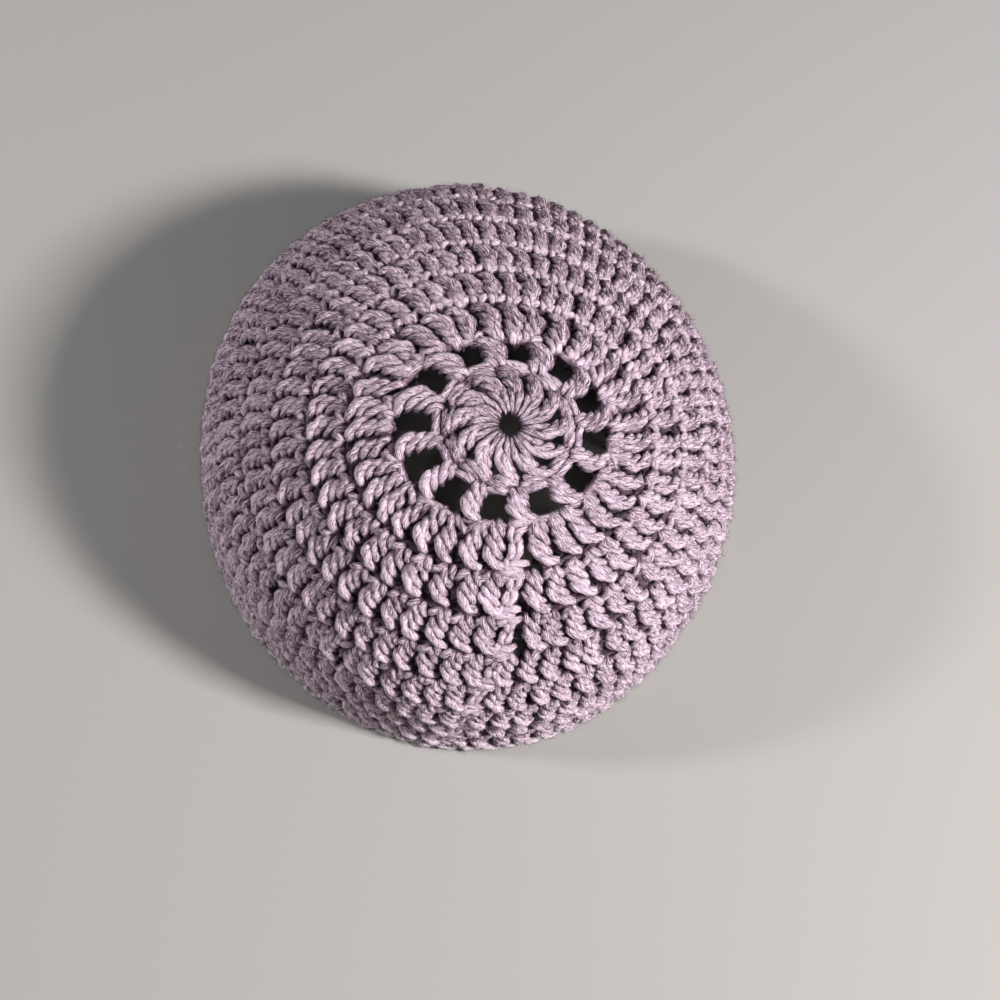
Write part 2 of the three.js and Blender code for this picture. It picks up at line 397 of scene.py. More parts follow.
def smooth_path(shape: CapShape, path: Path, step: float) -> tuple[Array, Array, Array]:
    """Rounds a path's rows off into a fine polyline on the fabric, as a Catmull-Rom spline.

    Args:
        shape: the cap.
        path: the rows.
        step: the spacing of the fine points in mm.

    Returns:
        The points in metres, the outward directions there, and their heights, radii and tones.
    """
    rows = np.array(path, dtype=float)
    knots = shape.place(rows[:, 0], rows[:, 1], rows[:, 2])[0] / MM
    spans = np.linalg.norm(np.diff(knots, axis=0), axis=1)
    hidden = np.minimum(rows[:-1, 2], rows[1:, 2]) < HIDDEN_BELOW
    counts = np.maximum(1, np.ceil(spans / np.where(hidden, step * HIDDEN_STEP, step)).astype(int))
    index = np.repeat(np.arange(len(counts)), counts)
    start = np.repeat(np.cumsum(counts) - counts, counts)
    t = ((np.arange(len(index)) - start) / counts[index])[:, None]
    before, here = rows[np.maximum(index - 1, 0)], rows[index]
    after, beyond = rows[index + 1], rows[np.minimum(index + 2, len(rows) - 1)]
    fine = 0.5 * (
        2 * here
        + (after - before) * t
        + (2 * before - 5 * here + 4 * after - beyond) * t**2
        + (3 * here - before - 3 * after + beyond) * t**3
    )
    fine = np.concatenate([fine, rows[-1:]])
    points, out = shape.place(fine[:, 0], fine[:, 1], fine[:, 2])
    return points, out, fine[:, 2:5]


@dataclass
class Seam:
    """The joining line that slants down the cap, and where it is at each length."""

    length: tuple[float, ...] = (
        17.0, 24.0, 41.0, 47.0, 59.5, 74.5, 84.0, 94.0, 102.5, 120.0, 135.5, 150.0,
    )
    azimuth: tuple[float, ...] = (
        38.0, 34.8, 27.0, 25.5, 25.5, 24.5, 22.2, 20.8, 20.8, 19.0, 18.0, 17.0,
    )

    def at(self, length: float) -> float:
        """Returns the seam's azimuth at a length in mm."""
        return float(np.interp(length, self.length, self.azimuth))


@dataclass
class Wobble:
    """The unevenness of hand work, from a fixed seed."""

    seed: int
    point: Row
    stitch: tuple[float, float, float] = (0.40, 0.020, 0.16)
    shade: float = 0.22
    phase: float = 0.03

    def __post_init__(self) -> None:
        """Starts the generator."""
        self.dice = np.random.default_rng(self.seed)

    def stitch_offset(self) -> Array:
        """Returns one stitch's own shift: x in mm, y share, z in mm."""
        return self.dice.normal(size=3) * self.stitch

    def point_offset(self) -> Array:
        """Returns one row's own shift: x in mm, y share, z in mm, radius share."""
        return self.dice.normal(size=4) * self.point

    def tone(self) -> float:
        """Returns one stitch's shade, from 0 to 1."""
        return float(np.clip(0.5 + self.dice.normal() * self.shade, 0.0, 1.0))

    def twist_start(self) -> float:
        """Returns where a yarn's plies start, in metres."""
        return float(self.dice.random()) * self.phase


@dataclass(frozen=True)
class PaintedSheen:
    """The fibres' shine as painted sheen and shade: a stitch's foot is painted bright where it faces
    the light and dark behind.

    The strengths are in tone, the direction in degrees, and middle and reach are shares of a round.
    """

    strength: float = 1.1
    behind: float = 0.5
    towards: float = 172.0
    middle: float = 0.33
    reach: float = 0.2

    def at(self, azimuth: float, share: float) -> float:
        """Works out the painted sheen and shade at one point.

        Args:
            azimuth: degrees from -Y.
            share: the share of the round's height.

        Returns:
            What it adds to the tone.
        """
        facing = math.cos(math.radians(azimuth - self.towards))
        strength = self.strength if facing > 0 else self.strength * self.behind
        return facing * strength * max(-1.0, min(1.0, (self.middle - share) / self.reach))


# painted sheen and shade, added to the tone of every yarn
PAINTED_SHEEN = PaintedSheen()


@dataclass(frozen=True)
class SeamChain:
    """The chain that starts a round at the seam, and the dashes that join the round to it.

    Shifts are in mm. Each join has its share of the round's height and its own shift.
    """

    links: int = 3
    link_height: float = 0.95
    shift: float = -0.6
    lean: float = 2.6
    joins: tuple[tuple[float, float], ...] = ((0.06, 1.2), (0.80, 1.6), (0.95, 0.4))
    tone: float = 1.6

    def yarns(self) -> list[Rows]:
        """Works out the rows of the chain and of the dashes.

        Returns:
            The chain, then a dash for each join.
        """
        chain = []
        for link in range(self.links):
            base = link / self.links
            for x, y, z, radius in CHAIN_LINK:
                across = x + self.shift - self.lean * (base + y)
                chain.append((across, base + y * self.link_height, z, radius))
        yarns = [chain]
        for share, shift in self.joins:
            aside, back = self.shift + shift, self.lean * share
            yarns.append([(x + aside - back, y + share, z, radius) for x, y, z, radius in JOIN_DASH])
        return yarns


SEAM_CHAIN = SeamChain()

# Rounds whose first stitch stands upright, and so leaves a small gap beside the seam.
GAPPED_ROUNDS = (3, 4, 5)

# How far each round's first stitch is moved back to the seam, in stitches.
FIRST_NUDGES = {3: 0.18, 4: 0.22, 5: 0.14, 6: 0.5, 7: 0.2, 8: 0.5, 9: 0.2, 10: 0.5}


@dataclass
class StitchRound:
    """One worked round of the cap: a ring of stitches on one continuous yarn.

    The chain at the seam stands for stitch 0. The stitches beside it lean with it and are nudged
    towards it, which fades out over lean_reach and nudge_reach stitches.
    """

    shape: CapShape
    seam: Seam
    number: int
    stitches: int
    seed: int
    step: float = 1.25
    unevenness: Row = (0.24, 0.016, 0.18, 0.06)
    lean_reach: float = 7.0
    nudge_reach: float = 35.0
    # the painted highlight on the base bars, added to their tone
    bar_painted_highlight: float = 0.3

    def __post_init__(self) -> None:
        """Works out where the round lies."""
        self.wobble = Wobble(self.seed, self.unevenness)
        self.yarns = YarnMesh()
        start, end = self.span(0.0)
        self.seam_azimuth = self.seam.at((start + end) / 2)

    def span(self, azimuth: float) -> tuple[float, float]:
        """Returns where the round starts and ends at an azimuth, in mm."""
        probe = np.array([azimuth])
        return tuple(float(self.shape.round_end(self.number - n, probe)[0]) for n in (1, 0))

    def length_at(self, azimuth: float, share: float) -> float:
        """Returns the length in mm at a share of the round's height."""
        start, end = self.span(azimuth)
        return start + share * (end - start)

    def azimuth_of(self, stitch: float, x: float, share: float) -> float:
        """Returns the azimuth of a point x mm beside a stitch, at a share of its height."""
        return self.seam_azimuth + (stitch + x / POST_PITCH) * 360.0 / self.stitches

    def lay(
        self, path: Path, rows: Rows, stitch: float, tone: float, shift: Sequence[float] = (0, 0, 0)
    ) -> None:
        """Adds a stitch's rows to a path, each a little out of place.

        Args:
            path: the path, which grows.
            rows: the stitch's rows.
            stitch: its number, whole or not.
            tone: its shade.
            shift: its own shift: x in mm, y share, z in mm.
        """
        for x, y, z, radius in rows:
            off = self.wobble.point_offset()
            azimuth = self.azimuth_of(stitch, x + off[0] + shift[0], y)
            length = self.length_at(azimuth, y + off[1] + shift[1])
            height = z + off[2] + shift[2]
            # the painted sheen and shade for where the point faces is added to the stitch's tone here
            path.append((azimuth, length, height, radius * (1 + off[3]), tone + PAINTED_SHEEN.at(azimuth, y)))

    def keep(self, path: Path) -> None:
        """Smooths a path and adds it to the round's yarns."""
        points, out, values = smooth_path(self.shape, path, self.step)
        self.yarns.add(points, out, values, self.wobble.twist_start())

    def run(
        self, rows: Rows, stitches: Sequence[float], tone: float | None = 0.0, calm: float = 0.0
    ) -> None:
        """Lays the same rows at several stitches, as one yarn.

        Args:
            rows: one stitch's rows.
            stitches: the stitches' numbers.
            tone: what is added to each stitch's own shade, or None for no shade.
            calm: the share of its own shift that each stitch gets.
        """
        path: Path = []
        for stitch in stitches:
            shade = 0.0 if tone is None else self.wobble.tone() + tone
            shift = self.wobble.stitch_offset() * calm if calm else (0, 0, 0)
            self.lay(path, rows, stitch, shade, shift)
        self.keep(path)

    def base_bars(self) -> None:
        """Adds the bars between the feet of the stitches, each with a painted highlight in its tone.
        """
        self.run(BASE_BAR, range(1, self.stitches), self.bar_painted_highlight)

    def work(self) -> None:
        """Lays the round's yarns."""
        for rows in SEAM_CHAIN.yarns():
            path: Path = []
            self.lay(path, rows, 0.0, SEAM_CHAIN.tone)
            self.keep(path)
        path = []
        lean = 0.0 if self.number in GAPPED_ROUNDS else SEAM_CHAIN.lean
        for stitch in range(1, self.stitches):
            fade = math.exp((1 - stitch) / self.lean_reach)
            rows = [(x - lean * fade * y, y, z, radius) for x, y, z, radius in DOUBLE_CROCHET]
            nudge = FIRST_NUDGES[self.number] * math.exp((1 - stitch) / self.nudge_reach)
            self.lay(path, rows, stitch - nudge, self.wobble.tone(), self.wobble.stitch_offset())
        self.keep(path)
        for table in (TOP_CHAIN, BACK_STRAND):
            self.run(table, range(1, self.stitches), None)
        self.base_bars()


@dataclass
class FanRound(StitchRound):
    """The round worked into the eyelets: three stitches fan out of each eyelet."""

    fan: int = 3
    gather: float = 0.2
    gather_end: float = 0.45
    foot_rise: float = 0.09

    def __post_init__(self) -> None:
        """Finds the post that the round starts over."""
        super().__post_init__()
        eyelets = np.array([row[0] for row in self.shape.sizes.eyelets])
        self.knots = np.concatenate([eyelets - 360.0, eyelets, eyelets + 360.0, eyelets[:1] + 720.0])
        self.start = float(np.interp(self.seam_azimuth, self.knots, np.arange(len(self.knots))))

    def azimuth_of(self, stitch: float, x: float, share: float) -> float:
        """Places a point beside a stitch, whose foot is gathered into its eyelet.

        Args:
            stitch: the stitch's number.
            x: mm beside its middle.
            share: the share of the round's height.

        Returns:
            The azimuth in degrees.
        """
        place = self.start + (stitch + x / POST_PITCH) / self.fan
        beside = place - round(place)
        place -= beside * self.gather * max(0.0, 1.0 - share / self.gather_end)
        return float(np.interp(place, np.arange(len(self.knots)), self.knots))

    def length_at(self, azimuth: float, share: float) -> float:
        """Returns the length in mm at a share of the height, the feet reaching into the eyelets."""
        rise = self.foot_rise * max(0.0, 1.0 - share / self.gather_end)
        return super().length_at(azimuth, share - rise)

    def base_bars(self) -> None:
        """Adds a bar over each of the eyelet round's posts."""
        for stitch in range(self.fan, self.stitches + 1, self.fan):
            self.run(BASE_BAR, [stitch])


@dataclass
class Rosette(StitchRound):
    """The crown: twelve stitches fanned out round the crown hole, each with a curl at its end."""

    unevenness: Row = (0.16, 0.018, 0.12, 0.06)
    calm: float = 0.5
    lean: float = 2.4
    upright: float = 0.3
    inner: float = 0.035

    def work(self) -> None:
        """Lays the rosette's yarns."""
        for table in (ROSETTE_STITCH, ROSETTE_TOP):
            rows = [
                (x + self.lean * (y - self.upright), self.inner + (1 - self.inner) * y, z, radius)
                for x, y, z, radius in table
            ]
            self.run(rows, range(self.stitches), calm=self.calm)


@dataclass
class EyeletRound(StitchRound):
    """The open round: twelve posts with an eyelet after each."""

    unevenness: Row = (0.12, 0.010, 0.10, 0.04)
    post_top: float = 0.2
    post_radius: float = 1.06
    post_middle: float = 26.0
    table_reach: float = 2.2
    strand_half: float = 1.25
    slack: float = -0.9
    narrowest: float = 1.8
    widest: float = 3.1

    def __post_init__(self) -> None:
        """Places the posts between the eyelets and fits their widths to the room there."""
        super().__post_init__()
        eyelets, middles, widths = np.array(self.shape.sizes.eyelets).T
        after = np.append(eyelets[1:], eyelets[0] + 360.0)
        self.posts = (eyelets + after) / 2
        room = np.radians(after - eyelets) * (middles + np.roll(middles, -1)) / 2
        room -= (widths + np.roll(widths, -1)) / 2
        reaches = (room - self.slack) / 2 - self.strand_half
        self.reaches = np.clip(reaches, self.narrowest, self.widest)

    def azimuth_of(self, stitch: float, x: float, share: float) -> float:
        """Places a point beside a post.

        Args:
            stitch: the post's number, or a place between two posts.
            x: mm beside it.
            share: the share of the round's height, which changes nothing here.

        Returns:
            The azimuth in degrees.
        """
        turns = math.floor(stitch)
        count = len(self.posts)
        here = self.posts[turns % count] + 360.0 * (turns // count)
        after = self.posts[(turns + 1) % count] + 360.0 * ((turns + 1) // count)
        return here + (stitch - turns) * (after - here) + math.degrees(x / self.post_middle)

    def work(self) -> None:
        """Lays the eyelet round's yarns."""
        for stitch in range(self.stitches):
            scale = self.reaches[stitch] / self.table_reach
            rows = [
                (x * scale, self.post_top + (1.0 - self.post_top) * y, z, radius * self.post_radius)
                for x, y, z, radius in DOUBLE_CROCHET
            ]
            self.run(rows, [stitch])
        for table in EYELET_LOOPS:
            loop: Path = []
            for stitch in range(self.stitches):
                tone = self.wobble.tone()
                for quarter, row in enumerate(table):
                    self.lay(loop, [(0.0, *row)], stitch + quarter / 4, tone)
            self.keep(loop)


@dataclass
class HemEdging(StitchRound):
    """The narrow edging along the hem."""

    calm: float = 0.5
    drop: float = 0.86

    def work(self) -> None:
        """Lays the edging's yarn."""
        rows = [(x, y * self.drop, z, radius) for x, y, z, radius in EDGE_STITCH]
        self.run(rows, range(self.stitches), calm=self.calm)


Socket = bpy.types.NodeSocket

# An input of a node takes another node's output or a plain value.
Value = Socket | float | int | str | tuple


@dataclass
class TreeKit:
    """Adds nodes to a node tree and links them."""

    tree: bpy.types.NodeTree

    @cached_property
    def enter(self) -> bpy.types.NodeOutputs:
        """Returns what the tree is given."""
        return self.tree.nodes.new("NodeGroupInput").outputs

    def fill(self, node: bpy.types.Node, inputs: dict[str | int, Value]) -> None:
        """Gives a node its inputs.

        Args:
            node: the node.
            inputs: the outputs to link or the values to set, by the input's name or place.
        """
        for name, value in inputs.items():
            if isinstance(value, Socket):
                self.tree.links.new(value, node.inputs[name])
            else:
                node.inputs[name].default_value = value

    def add(
        self, kind: str, inputs: dict[str | int, Value], output: str | int = 0, **options: object
    ) -> Socket:
        """Adds a node.

        Args:
            kind: its type.
            inputs: what its inputs get.
            output: the output that is wanted.
            options: its options, which are set first.

        Returns:
            That output.
        """
        node = self.tree.nodes.new(kind)
        for name, option in options.items():
            setattr(node, name, option)
        self.fill(node, inputs)
        return node.outputs[output]

    def leave(self, results: dict[str, Value]) -> None:
        """Links results to the tree's outputs."""
        self.fill(self.tree.nodes.new("NodeGroupOutput"), results)

    def calc(self, kind: str, *values: Value) -> Socket:
        """Returns the output of a Math node on these values."""
        return self.add("ShaderNodeMath", dict(enumerate(values)), operation=kind)

    def noise(self, vector: Value, scale: float, detail: float, roughness: float = 0.5) -> Socket:
        """Returns the output of a noise texture."""
        inputs = {"Vector": vector, "Scale": scale, "Detail": detail, "Roughness": roughness}
        return self.add("ShaderNodeTexNoise", inputs, "Fac")

    def combine(self, x: Value, y: Value, z: Value) -> Socket:
        """Returns a vector of three values."""
        return self.add("ShaderNodeCombineXYZ", {0: x, 1: y, 2: z})

    def split(self, vector: Value) -> bpy.types.NodeOutputs:
        """Returns a vector's X, Y and Z."""
        return self.add("ShaderNodeSeparateXYZ", {0: vector}).node.outputs


@dataclass(frozen=True)
class FibreLook:
    """The shader group that draws fibres, plies and the painted shade between the strands.

    Fibre is the place on the strand, Tone the stitch's shade and painted sheen, and Rise the height
    in metres, which sets the painted shade.
    """

    name: str = "fibres"
    base: float = 0.40
    streak_scale: float = 6.5
    streak_light: float = 8.5
    streak_dark: float = 5.6
    ply_turns: float = 2.0
    ply_power: float = 0.7
    ply_painted_shade: float = 0.28
    ply_height: float = 0.6
    waver_scale: float = 1.3
    waver_reach: float = 1.6
    tone_weight: float = 0.25
    mottle_scale: float = 70.0
    mottle_weight: float = 0.35
    speck_scale: float = 1100.0
    speck_weight: float = 1.1
    # painted shade by height: dark in the grooves between the strands, painted light on the crests,
    # lighter again on the fabric's inner face
    inside_rise: float = -1.25
    inside_depth: float = 0.0009
    groove: float = 0.0001
    crest: float = 0.0030
    groove_painted_shade: float = 0.02
    crest_painted_light: float = 1.30

    def group(self) -> bpy.types.NodeTree:
        """Makes the group once.

        Returns:
            The group, with the outputs Shade and Height.
        """
        if self.name in bpy.data.node_groups:
            return bpy.data.node_groups[self.name]
        group = bpy.data.node_groups.new(self.name, "ShaderNodeTree")
        for name, kind in (("Fibre", "Vector"), ("Tone", "Float"), ("Rise", "Float")):
            group.interface.new_socket(name, in_out="INPUT", socket_type="NodeSocket" + kind)
        for name in ("Shade", "Height"):
            group.interface.new_socket(name, in_out="OUTPUT", socket_type="NodeSocketFloat")
        kit = TreeKit(group)
        fibre, rise = kit.enter["Fibre"], kit.enter["Rise"]
        place = kit.add("ShaderNodeTexCoord", {}, "Object")
        fine = kit.noise(fibre, self.streak_scale, detail=5.0, roughness=0.68)
        streak = kit.calc("SUBTRACT", fine, 0.5)
        light = kit.calc("MULTIPLY", streak, self.streak_light)
        dark = kit.calc("MULTIPLY", streak, self.streak_dark)
        shade = kit.calc("ADD", kit.calc("MAXIMUM", light, dark), self.base)
        ply = self._ply(kit, fibre)
        mottle = kit.noise(place, self.mottle_scale, detail=2.0)
        speck = kit.noise(place, self.speck_scale, detail=3.0)
        # the ply mask paints shade in the grooves between the plies; the tone carries the painted
        # sheen; mottle and specks vary at random
        for part, middle, weight in (
            (ply, 0.0, self.ply_painted_shade),
            (kit.enter["Tone"], 0.5, self.tone_weight),
            (mottle, 0.5, self.mottle_weight),
            (speck, 0.5, self.speck_weight),
        ):
            weighted = kit.calc("MULTIPLY", kit.calc("SUBTRACT", part, middle), weight)
            shade = kit.calc("ADD", shade, weighted)
        # painted shade from the height in the fabric, lifted again on its inner face
        inside = kit.calc("SUBTRACT", kit.calc("MULTIPLY", rise, self.inside_rise), self.inside_depth)
        painted_depth_shade = kit.add(
            "ShaderNodeMapRange",
            {
                "Value": kit.calc("MAXIMUM", rise, inside),
                "From Min": self.groove,
                "From Max": self.crest,
                "To Min": self.groove_painted_shade,
                "To Max": self.crest_painted_light,
            },
            interpolation_type="SMOOTHSTEP",
        )
        relief = kit.calc("ADD", fine, kit.calc("MULTIPLY", ply, self.ply_height))
        kit.leave({"Shade": kit.calc("MULTIPLY", shade, painted_depth_shade), "Height": relief})
        return group

    def _ply(self, kit: TreeKit, fibre: Value) -> Socket:
        """Draws the plies round the strand.

        Args:
            kit: the group's kit.
            fibre: the place on the strand.

        Returns:
            A mask, 0 in the grooves and 1 on the crests, for the bump and for the painted shade in
            the grooves.
        """
        around = kit.split(fibre)
        turn = kit.calc("ARCTAN2", around["Y"], around["X"])
        waver = kit.noise(fibre, self.waver_scale, detail=1.0)
        turn = kit.calc("ADD", turn, kit.calc("MULTIPLY", waver, self.waver_reach))
        wave = kit.calc("SINE", kit.calc("MULTIPLY", turn, self.ply_turns))
        return kit.calc("POWER", kit.calc("ABSOLUTE", wave), self.ply_power)


Colour = tuple[float, float, float, float]


@dataclass(frozen=True)
class WoolFinish:
    """The yarn's finish: three colours from the painted shade deep between the fibres, and dark
    fibres, to their painted light side.
    """

    name: str
    dark_and_shade: Colour
    middle: Colour
    bright: Colour
    stops: tuple[float, float, float] = (0.1, 0.5, 0.9)
    roughness: float = 0.55
    sheen: float = 0.2
    sheen_roughness: float = 0.35
    specular: float = 0.6
    relief: float = 0.0007

    def material(self) -> bpy.types.Material:
        """Makes the finish.

        Returns:
            The material.
        """
        made = bpy.data.materials.new(self.name)
        made.use_nodes = True
        kit = TreeKit(made.node_tree)
        marks = {
            slot: kit.add("ShaderNodeAttribute", {}, output, attribute_name=spot.value)
            for slot, output, spot in (
                ("Fibre", "Vector", Spot.FIBRE),
                ("Tone", "Fac", Spot.TONE),
                ("Rise", "Fac", Spot.HEIGHT),
            )
        }
        shade = kit.add("ShaderNodeGroup", marks, "Shade", node_tree=FibreLook().group())
        colour = kit.add("ShaderNodeValToRGB", {"Fac": shade})
        ramp = colour.node.color_ramp.elements
        ramp.new(self.stops[1])
        for element, stop, tint in zip(ramp, self.stops, (self.dark_and_shade, self.middle, self.bright)):
            element.position = stop
            element.color = tint
        relief = {"Distance": self.relief, "Height": shade.node.outputs["Height"]}
        finish = {
            "Base Color": colour,
            "Normal": kit.add("ShaderNodeBump", {"Strength": 1.0, **relief}),
            "Roughness": self.roughness,
            "Sheen Weight": self.sheen,
            "Sheen Roughness": self.sheen_roughness,
            "Specular IOR Level": self.specular,
        }
        kit.fill(made.node_tree.nodes["Principled BSDF"], finish)
        return made


class SweepKit(TreeKit):
    """Adds the nodes of the yarn's Geometry Nodes tree."""

    def named(self, spot: Spot, kind: str = "FLOAT") -> Socket:
        """Returns a named attribute's output."""
        return self.add("GeometryNodeInputNamedAttribute", {"Name": spot.value}, data_type=kind)

    def store(self, geometry: Value, spot: Spot, value: Value, kind: str) -> Socket:
        """Returns a geometry with an attribute stored on its points."""
        inputs = {"Name": spot.value, "Geometry": geometry, "Value": value}
        return self.add("GeometryNodeStoreNamedAttribute", inputs, data_type=kind, domain="POINT")

    def shift(self, geometry: Value, slot: str, vector: Value) -> Socket:
        """Returns a geometry with its Position set, or moved by an Offset."""
        return self.add("GeometryNodeSetPosition", {"Geometry": geometry, slot: vector})

    def mix(self, kind: str, first: Value, second: Value) -> Socket:
        """Returns the outcome of a Vector Math node, a number where it is a dot product."""
        slot, output = ("Scale" if kind == "SCALE" else 1), ("Value" if kind == "DOT_PRODUCT" else 0)
        return self.add("ShaderNodeVectorMath", {0: first, slot: second}, output, operation=kind)


# The length in metres in which the plies turn once round the strand.
PLY_PITCH = 0.018


@dataclass
class YarnSweep:
    """The Geometry Nodes tree that turns polylines into plied yarn with fuzz, in metres.

    Each shared input of the tree has its name, its type and its value.
    """

    name: str = "yarn_sweep"
    shared: tuple[tuple[str, str, float], ...] = (
        ("Sides", "Int", 8),
        ("Plies", "Int", 4),
        ("Ply Bulge", "Float", 0.1),
        ("Twist", "Float", 2 * math.pi / PLY_PITCH),
        ("Fuzz Density", "Float", 490000.0),
        ("Fuzz Length", "Float", 0.0021),
        ("Fuzz Radius", "Float", 0.00005),
    )
    fibre_stretch: float = 70.0
    fuzz_from: float = 0.0003
    fuzz_full: float = 0.0022
    fuzz_lean: float = 1.25
    fuzz_turn: float = 3.14
    fuzz_curl: float = 0.0006
    curl_rate: float = 600.0
    fuzz_side: tuple[float, float, float] = (0.7, 0.7, 0.0)

    def tree(self) -> bpy.types.NodeTree:
        """Makes the tree once.

        Returns:
            The tree.
        """
        if self.name in bpy.data.node_groups:
            return bpy.data.node_groups[self.name]
        tree = bpy.data.node_groups.new(self.name, "GeometryNodeTree")
        kinds = {label: kind for label, kind, _ in self.shared}
        kinds = {"Geometry": "Geometry", **kinds, "Seed": "Int", "Material": "Material"}
        for label, kind in kinds.items():
            tree.interface.new_socket(label, in_out="INPUT", socket_type="NodeSocket" + kind)
        tree.interface.new_socket("Geometry", in_out="OUTPUT", socket_type="NodeSocketGeometry")
        kit = SweepKit(tree)
        strand = self._strand(kit)
        joined = kit.add("GeometryNodeJoinGeometry", {"Geometry": self._fuzz(kit, strand)})
        kit.fill(joined.node, {"Geometry": strand})
        real = kit.add("GeometryNodeRealizeInstances", {"Geometry": joined})
        dressed = {"Geometry": real, "Material": kit.enter["Material"]}
        kit.leave({"Geometry": kit.add("GeometryNodeSetMaterial", dressed)})
        return tree

    def _strand(self, kit: SweepKit) -> Socket:
        """Sweeps a lobed ring along the polylines and marks fibres and heights on it.

        Args:
            kit: the tree's kit.

        Returns:
            The strands' mesh.
        """
        place = kit.add("GeometryNodeInputPosition", {})
        curve = kit.add("GeometryNodeMeshToCurve", {"Mesh": kit.enter["Geometry"]})
        curve = kit.store(curve, Spot.CENTRE, place, "FLOAT_VECTOR")
        twist = kit.calc("MULTIPLY", kit.named(Spot.ALONG), kit.enter["Twist"])
        curve = kit.add("GeometryNodeSetCurveTilt", {"Curve": curve, "Tilt": twist})
        circle = {"Radius": 1.0, "Resolution": kit.enter["Sides"]}
        ring = kit.add("GeometryNodeCurvePrimitiveCircle", circle, mode="RADIUS")
        index = kit.add("GeometryNodeInputIndex", {})
        turn = kit.calc("DIVIDE", kit.calc("MULTIPLY", index, 2 * math.pi), kit.enter["Sides"])
        around = kit.combine(kit.calc("COSINE", turn), kit.calc("SINE", turn), 0.0)
        ring = kit.store(ring, Spot.FIBRE, around, "FLOAT_VECTOR")
        lobe = kit.calc("COSINE", kit.calc("MULTIPLY", turn, kit.enter["Plies"]))
        size = kit.calc("SUBTRACT", 1.0, kit.calc("MULTIPLY", lobe, kit.enter["Ply Bulge"]))
        ring = kit.shift(ring, "Position", kit.mix("SCALE", place, size))
        swept = {"Curve": curve, "Profile Curve": ring, "Scale": kit.named(Spot.RADIUS)}
        yarn = kit.add("GeometryNodeCurveToMesh", {**swept, "Fill Caps": True})
        along = kit.combine(0.0, 0.0, kit.calc("MULTIPLY", kit.named(Spot.ALONG), self.fibre_stretch))
        fibre = kit.mix("ADD", kit.named(Spot.FIBRE, "FLOAT_VECTOR"), along)
        yarn = kit.store(yarn, Spot.FIBRE, fibre, "FLOAT_VECTOR")
        arm = kit.mix("SUBTRACT", place, kit.named(Spot.CENTRE, "FLOAT_VECTOR"))
        outward = kit.mix("DOT_PRODUCT", arm, kit.named(Spot.OUT, "FLOAT_VECTOR"))
        height = kit.calc("ADD", kit.named(Spot.HEIGHT), outward)
        yarn = kit.store(yarn, Spot.HEIGHT, height, "FLOAT")
        return kit.add("GeometryNodeSetShadeSmooth", {"Geometry": yarn})

    def _fuzz(self, kit: SweepKit, strand: Socket) -> Socket:
        """Scatters short bent hairs over the strands, most of them where they stand proud.

        Args:
            kit: the tree's kit.
            strand: the strands' mesh.

        Returns:
            The hairs' mesh.
        """
        proud = {"From Min": self.fuzz_from, "From Max": self.fuzz_full}
        bare = kit.add("ShaderNodeMapRange", {"Value": kit.named(Spot.HEIGHT), **proud})
        density = kit.calc("MULTIPLY", kit.enter["Fuzz Density"], bare)
        seed = {"Seed": kit.enter["Seed"]}
        scatter = {"Mesh": strand, "Density": density, **seed}
        points = kit.add("GeometryNodeDistributePointsOnFaces", scatter, distribute_method="RANDOM")
        cone = {
            "Vertices": 3,
            "Side Segments": 1,
            "Radius Top": 0.0,
            "Radius Bottom": kit.enter["Fuzz Radius"],
            "Depth": kit.enter["Fuzz Length"],
        }
        hair = kit.add("GeometryNodeMeshCone", cone, fill_type="NONE")
        up = kit.split(kit.add("GeometryNodeInputPosition", {}))["Z"]
        bend = kit.calc("POWER", kit.calc("MULTIPLY", up, self.curl_rate), 2.0)
        curl = kit.combine(kit.calc("MULTIPLY", bend, self.fuzz_curl), 0.0, 0.0)
        hair = kit.shift(hair, "Offset", curl)
        most = (self.fuzz_lean, self.fuzz_lean, self.fuzz_turn)
        spread = {0: tuple(-limit for limit in most), 1: most, **seed}
        dice = kit.add("FunctionNodeRandomValue", spread, data_type="FLOAT_VECTOR")
        turn = {
            "Rotation": points.node.outputs["Rotation"],
            "Rotate By": kit.add("FunctionNodeEulerToRotation", {0: dice}),
        }
        turned = kit.add("FunctionNodeRotateRotation", turn, rotation_space="LOCAL")
        seat = {"Points": points, "Instance": hair, "Rotation": turned}
        hairs = kit.add("GeometryNodeInstanceOnPoints", seat)
        fuzz = kit.add("GeometryNodeRealizeInstances", {"Geometry": hairs})
        return kit.store(fuzz, Spot.FIBRE, kit.combine(*self.fuzz_side), "FLOAT_VECTOR")

    def apply(
        self, yarns: YarnMesh, name: str, material: bpy.types.Material, seed: int
    ) -> bpy.types.Object:
        """Sweeps the yarns into a plain mesh, pressed flat where it meets the floor.

        Args:
            yarns: the polylines.
            name: the name of the piece.
            material: its material.
            seed: the fuzz's seed.

        Returns:
            The piece.
        """
        source = yarns.to_object(name + "_path")
        modifier = source.modifiers.new("sweep", "NODES")
        modifier.node_group = self.tree()
        values = {label: value for label, _, value in self.shared}
        values |= {"Seed": seed, "Material": material}
        for item in modifier.node_group.interface.items_tree:
            if item.in_out == "INPUT" and item.name in values:
                modifier[item.identifier] = values[item.name]
        graph = bpy.context.evaluated_depsgraph_get()
        mesh = bpy.data.meshes.new_from_object(source.evaluated_get(graph))
        mesh.name = name
        spots = np.empty(len(mesh.vertices) * 3, dtype=np.float32)
        mesh.vertices.foreach_get("co", spots)
        spots[2::3] = np.maximum(spots[2::3], 0.0)
        mesh.vertices.foreach_set("co", spots)
        bpy.data.objects.remove(source)
        return placed(name, mesh)


